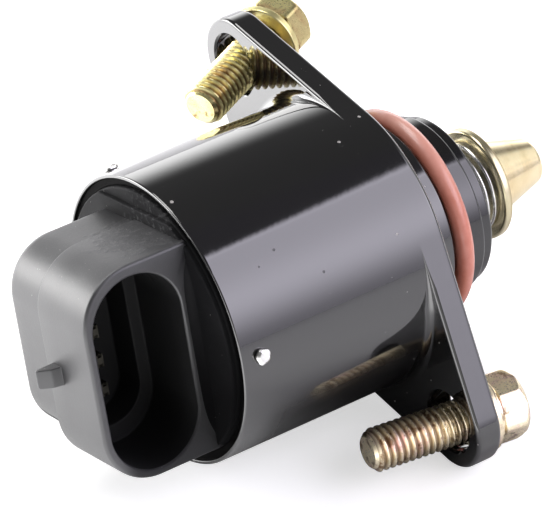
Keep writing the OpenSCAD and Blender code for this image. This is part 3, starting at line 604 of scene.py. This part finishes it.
class Finish(Nodes):
    """A material. Constants go to the shader's own sockets; patterns are built with node() and set with drive()."""

    def __init__(self, name, colour, roughness=0.5, metallic=0.0, **constants):
        self.material = bpy.data.materials.new(name)
        self.material.use_nodes = True
        super().__init__(self.material.node_tree)
        self.shader = self.tree.nodes["Principled BSDF"]
        self.set({"Base Color": (*colour, 1.0), "Roughness": roughness, "Metallic": metallic})
        self.set({key.replace("_", " "): value for key, value in constants.items()})

    def set(self, values):
        for key, value in values.items():
            self.join(self.shader.inputs[key], value)

    def place(self):
        """Object coordinates, in metres."""
        return self.node("TexCoord", out="Object")

    def place_mm(self, axis):
        """One object coordinate in millimetres: 0 along the valve's axis, 1 across the mouth, 2 up."""
        return self.node("SeparateXYZ", {}, {0: self.place()}, out=axis) * 1000.0

    def faces(self, direction):
        """How far the surface faces a direction."""
        return self.dot(self.node("NewGeometry", out="Normal"), direction)

    def depth(self):
        """The mesh's own depth attribute, 0 to 1."""
        return self.node("Attribute", {"attribute_name": "depth"}, out="Fac")

    def noise(self, size, detail=2.0, rough=0.5, stretch=(1, 1, 1), offset=0.0, distortion=0.0):
        """Noise whose features measure about size millimetres, longer along an axis whose stretch is over 1."""
        scale = tuple(1000.0 / size / s for s in stretch)
        shift = (offset, offset * 1.7, offset * 0.6)
        where = self.node("Mapping", {}, {"Vector": self.place(), "Scale": scale, "Location": shift})
        return self.node("TexNoise", {}, {"Vector": where, "Scale": 1.0, "Detail": detail, "Roughness": rough,
                                          "Distortion": distortion})

    def specks(self, spacing, size, share, offset=0.0):
        """Round specks: distance to the nearest of scattered points, for the share of them that each point's own
        random colour keeps."""
        where = self.node("Mapping", {}, {"Vector": self.place(), "Scale": (1000.0 / spacing,) * 3,
                                          "Location": (offset,) * 3})
        near = self.node("TexVoronoi", {}, {"Vector": where, "Scale": 1.0}, out="Distance")
        draw = self.node("TexVoronoi", {}, {"Vector": where, "Scale": 1.0}, out="Color")
        kept = self.node("SeparateXYZ", {}, {0: draw}).step(1 - share, 1 - share + 0.01)
        size_draw = self.node("SeparateXYZ", {}, {0: draw}, out=1)
        reach = size_draw * (0.8 * size / spacing) + 0.3 * size / spacing
        return self.node("Math", {"operation": "LESS_THAN"}, {0: near, 1: reach}) * kept

    def spot(self, centre, radius, ragged=0.35, noise_size=0.6):
        """1 inside a ragged patch round a point given in millimetres, 0 outside."""
        centre = tuple(c * MM for c in centre)
        away = self.node("VectorMath", {"operation": "DISTANCE"}, {0: self.place(), 1: centre}, out="Value")
        edge = away * (1000.0 / radius) + (self.noise(noise_size, 3.0) - 0.5) * (2 * ragged)
        return edge.step(1.0, 0.75)

    def bump(self, height, depth, under=None):
        """A Bump node whose height of 1 stands depth millimetres proud."""
        inputs = {"Height": height, "Distance": depth * MM, "Strength": 1.0}
        if under is not None:
            inputs["Normal"] = under
        return self.node("Bump", {}, inputs)

    def drive(self, **links):
        self.set({key.replace("_", " "): value for key, value in links.items()})


def srgb(r, g, b):
    """An 8 bit display colour as linear light."""
    c = np.array([r, g, b]) / 255.0
    return tuple(float(v) for v in np.where(c <= 0.04045, c / 12.92, ((c + 0.055) / 1.055) ** 2.4))


def rgba(colour):
    return (*colour, 1.0)


def paint_finish():
    """Gloss black enamel: slight orange peel, dust specks, a few nicks that show pale metal and three dull marks.
    Its gloss is dimmed and blurred under the can, which paints shade there, its coat is thinner on the nose, and in the
    recess that the mesh's depth marks it is made dull and dark, which paints the shade in the recess."""
    f = Finish("black_paint", srgb(14, 14, 15), 0.07, Specular_IOR_Level=0.85, Coat_Weight=1.0, Coat_Roughness=0.03,
               Coat_IOR=1.5)
    dust = f.specks(1.5, 0.085, 0.16)
    fine = f.specks(0.8, 0.035, 0.1, 3.0)
    nicks = [((0.0, -13.76, -15.38), 0.28), ((0.0, -15.51, -0.65), 0.3), ((-0.3, -17.4, -19.4), 0.34),
             ((-0.2, -16.9, -19.2), 0.2), ((-26.4, -6.1, 15.3), 0.22), ((-5.4, -15.3, 6.2), 0.16),
             ((-5.75, -7.24, 14.8), 0.2), ((-1.5, -5.2, 15.65), 0.18)]
    marks = [((-19.6, -13.6, 9.35), 0.2), ((-15.2, -15.5, 5.65), 0.17), ((-22.05, -14.15, 8.5), 0.14)]
    chip, dull = 0.0, 0.0
    for centre, radius in nicks:
        chip = f.spot(centre, radius, 0.5, 0.3) + chip
    for centre, radius in marks:
        dull = f.spot(centre, radius, 0.5, 0.3) + dull
    haze = f.noise(9.0, 3.0)
    colour = f.mix(rgba(srgb(14, 14, 15)), rgba(srgb(20, 19, 19)), haze)
    colour = f.mix(colour, rgba(srgb(190, 186, 182)), dust * 0.8)
    colour = f.mix(colour, rgba(srgb(170, 166, 160)), fine * 0.5)
    colour = f.mix(colour, rgba(srgb(176, 172, 168)), chip * 0.8)
    peel = f.noise(1.5, 2.0)
    craters = f.specks(5.0, 0.3, 0.35, 8.0)
    along = f.place_mm(0)
    height = f.place_mm(2)
    # painted shade: under the can the coat is dimmed and the gloss blurred
    under = height.step(-5.5, -9.0) * along.step(-25.5, -21.0) * along.step(-3.5, -4.5)
    nose = along.step(5.0, 6.5)
    # painted shade: the recess inside the rear lip is made dull and dark
    recess = f.depth()
    smear = f.noise(5.0, 4.0, 0.6, (3, 1, 1), 5.0).step(0.5, 0.75)
    f.drive(Base_Color=colour, Metallic=recess,
            Roughness=0.06 + smear * 0.06 + dust * 0.5 + chip * 0.3 + under * 0.24 + recess * 0.9 + dull * 0.4,
            Coat_Weight=1.0 - dust * 0.9 - chip * 0.8 - under * 0.85 - nose * 0.8 - recess * 0.95 - dull * 0.8,
            Normal=f.bump(peel, 0.005, f.bump(chip + dust * 0.6 - craters * 0.5, 0.03)))
    return f


def plastic_finish(name, tone, gloss, roughness):
    """Glass filled plastic of the connector: satin, fine grain, faint flow streaks. Dust lies on what faces up, and a
    pale film there is partly dust and partly painted sheen; the top is scuffed and pitted beside the can, a pale
    parting line runs round the middle, and the socket and the mouth's lower face are darker and duller, which is
    painted shade."""
    f = Finish(name, srgb(tone, tone, tone + 2), roughness, Specular_IOR_Level=gloss)
    grain = f.noise(0.2, 3.0, 0.6)
    flow = f.noise(5.0, 4.0, 0.6, (1, 2.2, 1), 2.0)
    up = f.faces((0.0, 0.0, 1.0)).step(0.3, 0.9)
    scuff = f.spot((-29.6, -3.2, 12.2), 5.5, 0.6, 1.4)
    pits = f.noise(0.55, 4.0, 0.65, offset=7.0)
    dust = f.specks(0.9, 0.05, 0.12, 1.0) + f.specks(0.42, 0.045, 0.22, 4.0) * (up * 0.8 + 0.06)
    lint = f.noise(0.2, 3.0, 0.7, offset=11.0).step(0.55, 0.75) * up
    along = f.place_mm(0)
    away = along.step(-28.5, -34.0)
    # painted shade: the socket's inside is darkened
    inside = f.depth()
    across = f.place_mm(1)
    seam = f.node("Math", {"operation": "ABSOLUTE"}, {0: across - 0.02}).step(0.14, 0.05)
    seam = seam * (1.0 - inside) * along.step(-30.5, -32.5)
    height = f.place_mm(2)
    # painted shade on the mouth's lower face, darker towards the bottom
    shade = across.step(MOUTH_Y + 0.35, MOUTH_Y + 0.05) * height.step(8.0, -8.0) * along.step(-40.2, -37.5)
    shade = shade * (1.0 - inside)
    colour = f.mix(rgba(srgb(tone, tone, tone + 2)), rgba(srgb(tone + 14, tone + 14, tone + 16)), flow.step(0.3, 0.75))
    # a pale film on what faces up: partly dust, partly a painted sheen on the top
    colour = f.mix(colour, rgba(srgb(104, 104, 106)), (up * 0.2 + lint * 0.3) * away)
    colour = f.mix(colour, rgba(srgb(110, 110, 112)), scuff * pits.step(0.5, 0.7) * 0.4)
    colour = f.mix(colour, rgba(srgb(132, 132, 134)), seam * 0.45)
    colour = f.mix(colour, rgba(srgb(190, 188, 184)), dust * 0.7)
    # painted shade: the socket and the mouth's lower face are darkened towards black
    colour = f.mix(colour, rgba(srgb(14, 14, 15)), inside * 0.9 + shade * 0.8)
    f.drive(Base_Color=colour, Metallic=inside * 0.6 + shade * 0.5,
            Roughness=roughness + grain * 0.1 + flow * 0.06 + scuff * 0.08 + inside * 0.3 + shade * 0.35,
            Normal=f.bump(grain, 0.012, f.bump(pits * (scuff * 0.9 + 0.1), 0.06)))
    return f


def metal_finish(name, colour, second, roughness, size, stretch=(1, 1, 1), depth=0.004):
    """Bare or plated metal: two tones mixed by noise, roughness that follows it, fine tool marks."""
    spread = 0.1
    f = Finish(name, colour, roughness, 1.0)
    tone = f.noise(size * 6, 4.0, 0.6, offset=1.0)
    marks = f.noise(size, 3.0, 0.6, stretch, 4.0)
    f.drive(Base_Color=f.mix(rgba(colour), rgba(second), tone.step(0.3, 0.7)),
            Roughness=roughness - spread / 2 + marks * spread + tone.step(0.55, 0.8) * spread,
            Normal=f.bump(marks, depth))
    return f


def zinc_finish(name, roughness, pale=0.0):
    """Yellow passivated zinc: tan at the front screw and yellower at the rear one, with drifting pink and green
    tints, brown in patches and in the thread's roots, which the mesh's depth attribute marks, browner on one
    side of the rear screw as painted shade, and with small pits."""
    f = Finish(name, srgb(220, 204, 160), roughness, 1.0)
    tint = f.noise(2.2, 3.0, 0.55, offset=2.0)
    patch = f.noise(1.3, 4.0, 0.6, offset=9.0)
    pits = f.noise(0.25, 3.0, 0.6, offset=3.0)
    root = f.depth()
    rear = f.place_mm(2).step(-4.0, 8.0)
    gold = f.mix(rgba(srgb(255, 240, 208)), rgba(srgb(246, 235, 172)), rear)
    pink = f.mix(rgba(srgb(244, 216, 204)), rgba(srgb(232, 206, 150)), rear)
    colour = f.mix(pink, gold, tint.step(0.3, 0.5))
    colour = f.mix(colour, rgba(srgb(222, 222, 166)), tint.step(0.56, 0.74) * 0.35)
    colour = f.mix(colour, rgba(srgb(118, 84, 52)), patch.step(0.54, 0.68) * (0.8 - pale))
    colour = f.mix(colour, rgba(srgb(116, 78, 46)), root.step(0.3, 0.85) * (rear * 0.15 + 0.6))
    # painted shade: the rear screw's side that faces away from the lamps is made browner
    shaded_side = f.faces((0.81, -0.56, -0.15)).step(0.1, 0.85) * rear * (1.0 - pale)
    colour = f.mix(colour, rgba(srgb(126, 86, 54)), shaded_side * 0.45)
    f.drive(Base_Color=colour, Roughness=roughness + patch.step(0.5, 0.8) * 0.16 + pits * 0.08 + root * 0.15,
            Normal=f.bump(pits, 0.006))
    return f


def pintle_finish():
    """Turned brass toned alloy: bright satin, faint rings from the tool, a greyer disc and a browner root."""
    f = Finish("pale_gold", srgb(240, 222, 182), 0.2, 1.0)
    rings = f.noise(0.16, 2.0, 0.5, (1, 60, 60), 1.0)
    tone = f.noise(3.0, 3.0, 0.5, offset=4.0)
    along = f.place_mm(0)
    root = along.step(16.6, 15.8) * along.step(15.2, 15.6)
    disc = along.step(15.9, 15.6)
    colour = f.mix(rgba(srgb(242, 226, 188)), rgba(srgb(228, 208, 164)), tone.step(0.35, 0.7))
    colour = f.mix(colour, rgba(srgb(214, 206, 172)), disc * 0.8)
    colour = f.mix(colour, rgba(srgb(150, 122, 80)), root * 0.6)
    f.drive(Base_Color=colour, Roughness=0.15 + rings * 0.1 + root * 0.1 + disc * 0.06, Normal=f.bump(rings, 0.004))
    return f


def rubber_finish(name, colour, second, roughness):
    """Moulded rubber: satin, faint flow, specks of dust, and a pale film on what faces up that is a painted highlight.
    """
    f = Finish(name, colour, roughness, Specular_IOR_Level=0.45, Coat_Weight=0.7, Coat_Roughness=0.2)
    flow = f.noise(2.5, 4.0, 0.6, offset=3.0)
    grain = f.noise(0.18, 2.0, 0.5)
    dust = f.specks(0.9, 0.06, 0.18, 5.0)
    up = f.faces((0.0, 0.0, 1.0)).step(0.1, 0.95)
    tone = f.mix(rgba(colour), rgba(second), flow.step(0.3, 0.75))
    # the pale film on what faces up is a painted highlight; the specks are dust
    f.drive(Base_Color=f.mix(tone, rgba(srgb(236, 206, 192)), dust * 0.5 + up * 0.32),
            Roughness=roughness - 0.05 + flow * 0.1 + grain * 0.05, Normal=f.bump(grain, 0.008))
    return f


def moulded_finish(name, colour, second, roughness):
    """Plain moulded plastic of the inner pieces."""
    f = Finish(name, colour, roughness)
    flow = f.noise(4.0, 3.0, 0.6)
    grain = f.noise(0.3, 2.0)
    f.drive(Base_Color=f.mix(rgba(colour), rgba(second), flow.step(0.3, 0.75)),
            Roughness=roughness - 0.05 + grain * 0.12, Normal=f.bump(grain, 0.008))
    return f


def wound_finish():
    """Enamelled copper wire: turns side by side as a sine along the axis, paler on their crests and darker between
    them, which paints their sheen and shade.
    """
    f = Finish("copper_wire", srgb(164, 86, 44), 0.3, 1.0)
    along = f.node("SeparateXYZ", {}, {0: f.place()})
    turns = f.node("Math", {"operation": "SINE"}, {0: along * (TURN * 1000 / 0.28)}) * 0.5 + 0.5
    tone = f.noise(1.5, 3.0, stretch=(1, 4, 4))
    # painted sheen and shade: the sine makes the turns pale on their crests and dark between them
    colour = f.mix(rgba(srgb(112, 48, 22)), rgba(srgb(196, 112, 62)), turns * 0.7 + tone * 0.3)
    f.drive(Base_Color=colour, Roughness=0.26 + tone * 0.12, Normal=f.bump(turns, 0.06))
    return f


paint = paint_finish()
plastic = plastic_finish("connector_plastic", 36, 0.9, 0.33)
# The plug and the mouth's fillet take a darker, duller copy of the connector's plastic, which paints the shade beside
# the connector
plug_plastic_shaded = plastic_finish("plug_plastic_shaded", 14, 0.16, 0.6)
red_rubber = rubber_finish("red_rubber", srgb(206, 118, 96), srgb(218, 138, 118), 0.36)
dark_rubber = rubber_finish("dark_rubber", srgb(34, 34, 36), srgb(46, 46, 48), 0.5)
zinc = zinc_finish("yellow_zinc", 0.24)
washer_zinc = zinc_finish("washer_zinc", 0.28, 0.4)
spring_steel = metal_finish("spring_steel", srgb(250, 250, 250), srgb(228, 226, 222), 0.24, 0.3, (1, 1, 1), 0.003)
pin_steel = metal_finish("pin_steel", srgb(246, 246, 244), srgb(214, 212, 208), 0.3, 0.25)
pale_gold = pintle_finish()
cad_finishes = [
    # The blades' tin is given a dark grey, which paints the shade inside the socket
    (metal_finish("tinned_blade_shaded", srgb(84, 82, 74), srgb(58, 56, 50), 0.5, 0.4),
     ["terminal_1", "terminal_2", "terminal_3", "terminal_4"]),
    (metal_finish("screw_steel", srgb(168, 169, 172), srgb(120, 120, 122), 0.28, 0.3, (1, 8, 8)), ["lead_screw"]),
    (metal_finish("pressed_steel", srgb(134, 136, 140), srgb(104, 104, 108), 0.36, 0.6),
     ["stator_cup_1", "stator_cup_2", "stator_cup_3", "stator_cup_4"]),
    (metal_finish("race_steel", srgb(196, 198, 202), srgb(160, 162, 166), 0.16, 0.3, (1, 12, 12)),
     ["bearing_outer", "bearing_inner", "bearing_balls"]),
    (metal_finish("cage_brass", srgb(198, 160, 92), srgb(160, 120, 60), 0.3, 0.4), ["bearing_cage"]),
    (metal_finish("oiled_bronze", srgb(150, 110, 66), srgb(112, 78, 44), 0.42, 0.3), ["rear_bush"]),
    (moulded_finish("sintered_magnet", srgb(62, 58, 54), srgb(44, 42, 40), 0.55), ["rotor_magnet"]),
    (moulded_finish("nut_plastic", srgb(216, 210, 192), srgb(198, 190, 168), 0.4),
     ["rotor_nut", "bobbin_rear", "bobbin_front"]),
    (moulded_finish("guide_plastic", srgb(74, 72, 66), srgb(58, 56, 52), 0.45), ["guide_insert"]),
    (wound_finish(), ["winding_rear", "winding_front"]),
    (dark_rubber, ["cap_seal_ring"]),
]
for finish, nodes in cad_finishes:
    for node in nodes:
        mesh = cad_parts[node].data
        mesh.materials.clear()
        mesh.materials.append(finish.material)


# Pieces

housing = make_piece("painted_housing", [housing_shell()], paint, "housing", ["housing"])
holes = [make_piece("hole_%d" % i, [hole_cutter(EAR_ANGLE + i * np.pi)], paint, None) for i in range(2)]
cut(housing, holes)
mark_depth(housing.data, rim_recess)
make_piece("connector_body", [connector_shell()], plastic, "housing", ["connector_cap"], 40, in_socket)
make_piece("connector_plug", [plug_shell()], plug_plastic_shaded, "housing")
make_piece("mouth_fillet", [mouth_fillet()], plug_plastic_shaded, "housing", sharp=50)
make_piece("latch_nib", [latch_shell()], plastic, "housing", sharp=50)

ring_angle = np.linspace(0, TURN, 40, endpoint=False)
ring_profile = np.column_stack([RING_X + RING_SECTION * np.cos(ring_angle), RING_R + RING_SECTION * np.sin(ring_angle)])
make_piece("red_seal_ring", [shell(revolve(ring_profile, 240), wrap_rows=True)], red_rubber, "housing",
           ["pilot_o_ring"], 60)

make_piece("pintle_turned", [pintle_shell()], pale_gold, "drive", ["pintle"])
spring = make_piece("spring_wire", [helix_shell(SPRING_R, WIRE_R, SPRING_START, SPRING_END, COILS)], spring_steel,
                    None, ["pintle_spring"])
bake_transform(spring)

for number, angle in enumerate((180, 60, -60), 1):
    make_piece("pin_%d" % number, [pin_shell(np.radians(angle), number)], pin_steel, "housing",
               ["cap_pin_%d" % number])

# Each loose screw: its name, the side and the shift of its hole in millimetres, its lean and its turn in degrees
loose = (("front", -1, (0.154, -0.581), 7.1, 195.4), ("rear", 1, (0.0, 0.0), 25.0, 21.2))
for place, side, shift, lean, turn in loose:
    where = hole_frame(side, shift, lean, turn)
    parts = [(in_hole(v, where), q) for v, q in screw_shells(lean)]
    make_piece("threaded_screw_" + place, parts, zinc, "housing", ["screw_" + place], 38,
               thread_depth(where, lean))
    v, q = washer_shell(lean)
    make_piece("flat_washer_" + place, [(in_hole(v, where), q)], washer_zinc, "housing",
               ["washer_" + place])


# Floor, light and camera

def lamp(name, direction, width, height, radiance):
    """A soft box: an area light that faces the object from a direction, a metre away. Its power is radiance
    times area times pi."""
    d = np.array(direction, float)
    d /= np.linalg.norm(d)
    up = FLOOR_UP - d * (FLOOR_UP @ d)
    up /= np.linalg.norm(up)
    side = np.cross(up, d)
    light = bpy.data.lights.new(name, "AREA")
    light.shape, light.size, light.size_y = "RECTANGLE", width, height
    light.energy, light.color = radiance * width * height * np.pi, LAMP_WHITE
    obj = bpy.data.objects.new(name, light)
    place = np.eye(4)
    place[:3, :3], place[:3, 3] = np.column_stack([side, up, d]), d + [-0.012, 0, 0]
    obj.matrix_world = Matrix(place.tolist())
    bpy.context.scene.collection.objects.link(obj)


def toward(psi):
    """The direction at an angle about the axis in which the can mirrors the camera's view."""
    a = np.radians(psi)
    return np.array([SIGHT_ALONG, SIGHT_ACROSS * np.cos(a), SIGHT_ACROSS * np.sin(a)])


# The lamp overhead casts the shadow, and the one on the left behind lights the connector
lamp("overhead", (-0.12, 0.25, 0.96), 0.95, 0.42, 4.6)
lamp("left_behind", (-0.62, 0.73, 0.32), 0.7, 0.5, 8.5)

# The room: a pale horizon that is brightest behind, a dark ceiling, a gap and a lamp on the right, and a tall
# lavender softbox in front, brightest in its middle, with a crisp upper edge
world = bpy.data.worlds.new("studio")
bpy.context.scene.world = world
world.use_nodes = True
room = Nodes(world.node_tree)
room.tree.nodes.clear()
facing = room.node("TexCoord", out="Generated")
height = room.dot(facing, FLOOR_UP)
middle = toward(147)
across = np.cross(FLOOR_UP, middle)
across /= np.linalg.norm(across)
aside = room.node("Math", {"operation": "ABSOLUTE"}, {0: room.dot(facing, across)})
front = room.dot(facing, middle).step(0.2, 0.4) * aside.step(0.5, 0.34)
edge = height.step(0.862, 0.85) * height.step(0.826, 0.84)
lit = front * height.step(0.858, 0.836) * height.step(0.0, 0.03)
box = height.step(-0.02, 0.5) * 2.4 + 1.0 - height.step(0.5, 0.8) * 0.6 + edge * 0.5
behind = room.dot(facing, (0.46, 0.88, 0.0)).step(0.3, 0.7) * height.step(0.45, 0.06)
sky = height.step(0.5, 0.12) * 0.85 + 0.13 + behind * 1.3
right = room.dot(facing, (0.97, -0.24, 0.0)).step(0.74, 0.84)
gap = right * height.step(0.2, 0.13)
lamp_right = right * height.step(0.3, 0.4) * height.step(0.72, 0.6)
grey = lit * box + (1.0 - lit) * sky * (1.0 - gap * 0.85) + lamp_right * 0.9
tint = room.mix((1, 1, 1, 1), (0.965, 0.93, 1.06, 1), front)
path = {name: room.node("LightPath", out=name) for name in ("Is Camera Ray", "Is Transmission Ray")}
seen = room.larger(*path.values())
strength = room.node("Mix", {"data_type": "FLOAT"}, {0: seen, 2: grey, 3: 1.0})
shown = room.node("Background", {}, {0: room.mix(tint, (1, 1, 1, 1), seen), 1: strength})
room.node("OutputWorld", {}, {0: shown})

# The floor is a wide sheet square to the way the valve rests, just under the lower ear
across = np.cross(FLOOR_UP, [1.0, 0, 0])
across /= np.linalg.norm(across)
u, v = np.meshgrid(np.linspace(-FLOOR_HALF, FLOOR_HALF, 3), np.linspace(-FLOOR_HALF, FLOOR_HALF, 3))
sheet = u[..., None] * np.array([1.0, 0, 0]) + v[..., None] * across - FLOOR_UP / np.linalg.norm(FLOOR_UP) * FLOOR_LOW
# Gloss shows the floor with painted shade, from ambient occlusion, where the valve stands close over it, and
# a painted pool of light behind and to the left, for a light outside the picture
f = Finish("pale_floor", (0.86, 0.86, 0.86), 0.7)
ray = {name: f.node("LightPath", out="Is %s Ray" % name) for name in ("Camera", "Glossy", "Transmission")}
clear = f.node("AmbientOcclusion", {"samples": 6}, {"Distance": 0.04}, out="AO") ** 1.6
left = f.dot(f.place(), (-0.95, 0.3, 0.0)) - 0.004
bright = f.node("Math", {"operation": "MULTIPLY", "use_clamp": True}, {0: left, 1: 30.0}) * 1.9
glow = f.larger(ray["Camera"], ray["Transmission"]) * 0.56 + ray["Glossy"] * clear * (bright + 0.05)
mirrored = f.node("CombineXYZ", {}, {0: clear, 1: clear, 2: clear})
f.drive(Base_Color=f.mix((0.86, 0.86, 0.86, 1), mirrored, ray["Glossy"]))
emitted = f.node("Emission", {}, {0: (1, 1, 1, 1), 1: glow})
lit = f.node("AddShader", {}, {0: Value(f, f.shader.outputs[0]), 1: emitted})
f.tree.links.new(lit.socket, f.tree.nodes["Material Output"].inputs[0])
vertices, faces = shell(sheet, wrap_cols=False)
floor_mesh = bpy.data.meshes.new("floor")
floor_mesh.from_pydata((vertices * MM).tolist(), [], faces.tolist())
floor_mesh.materials.append(f.material)
floor = bpy.data.objects.new("floor", floor_mesh)
bpy.context.scene.collection.objects.link(floor)

camera_data = bpy.data.cameras.new("camera")
camera_data.sensor_width, camera_data.lens = 36.0, 330.882
camera_data.clip_start, camera_data.clip_end = 0.05, 20.0
camera = bpy.data.objects.new("camera", camera_data)
bpy.context.scene.collection.objects.link(camera)
camera.matrix_world = Matrix((
    (0.814697, 0.348338, -0.463605, -0.261392),
    (-0.560128, 0.265793, -0.784608, -0.4222793),
    (-0.150086, 0.898896, 0.411655, 0.2234667),
    (0, 0, 0, 1)))
bpy.context.scene.camera = camera
bpy.context.scene.view_settings.view_transform = "Standard"
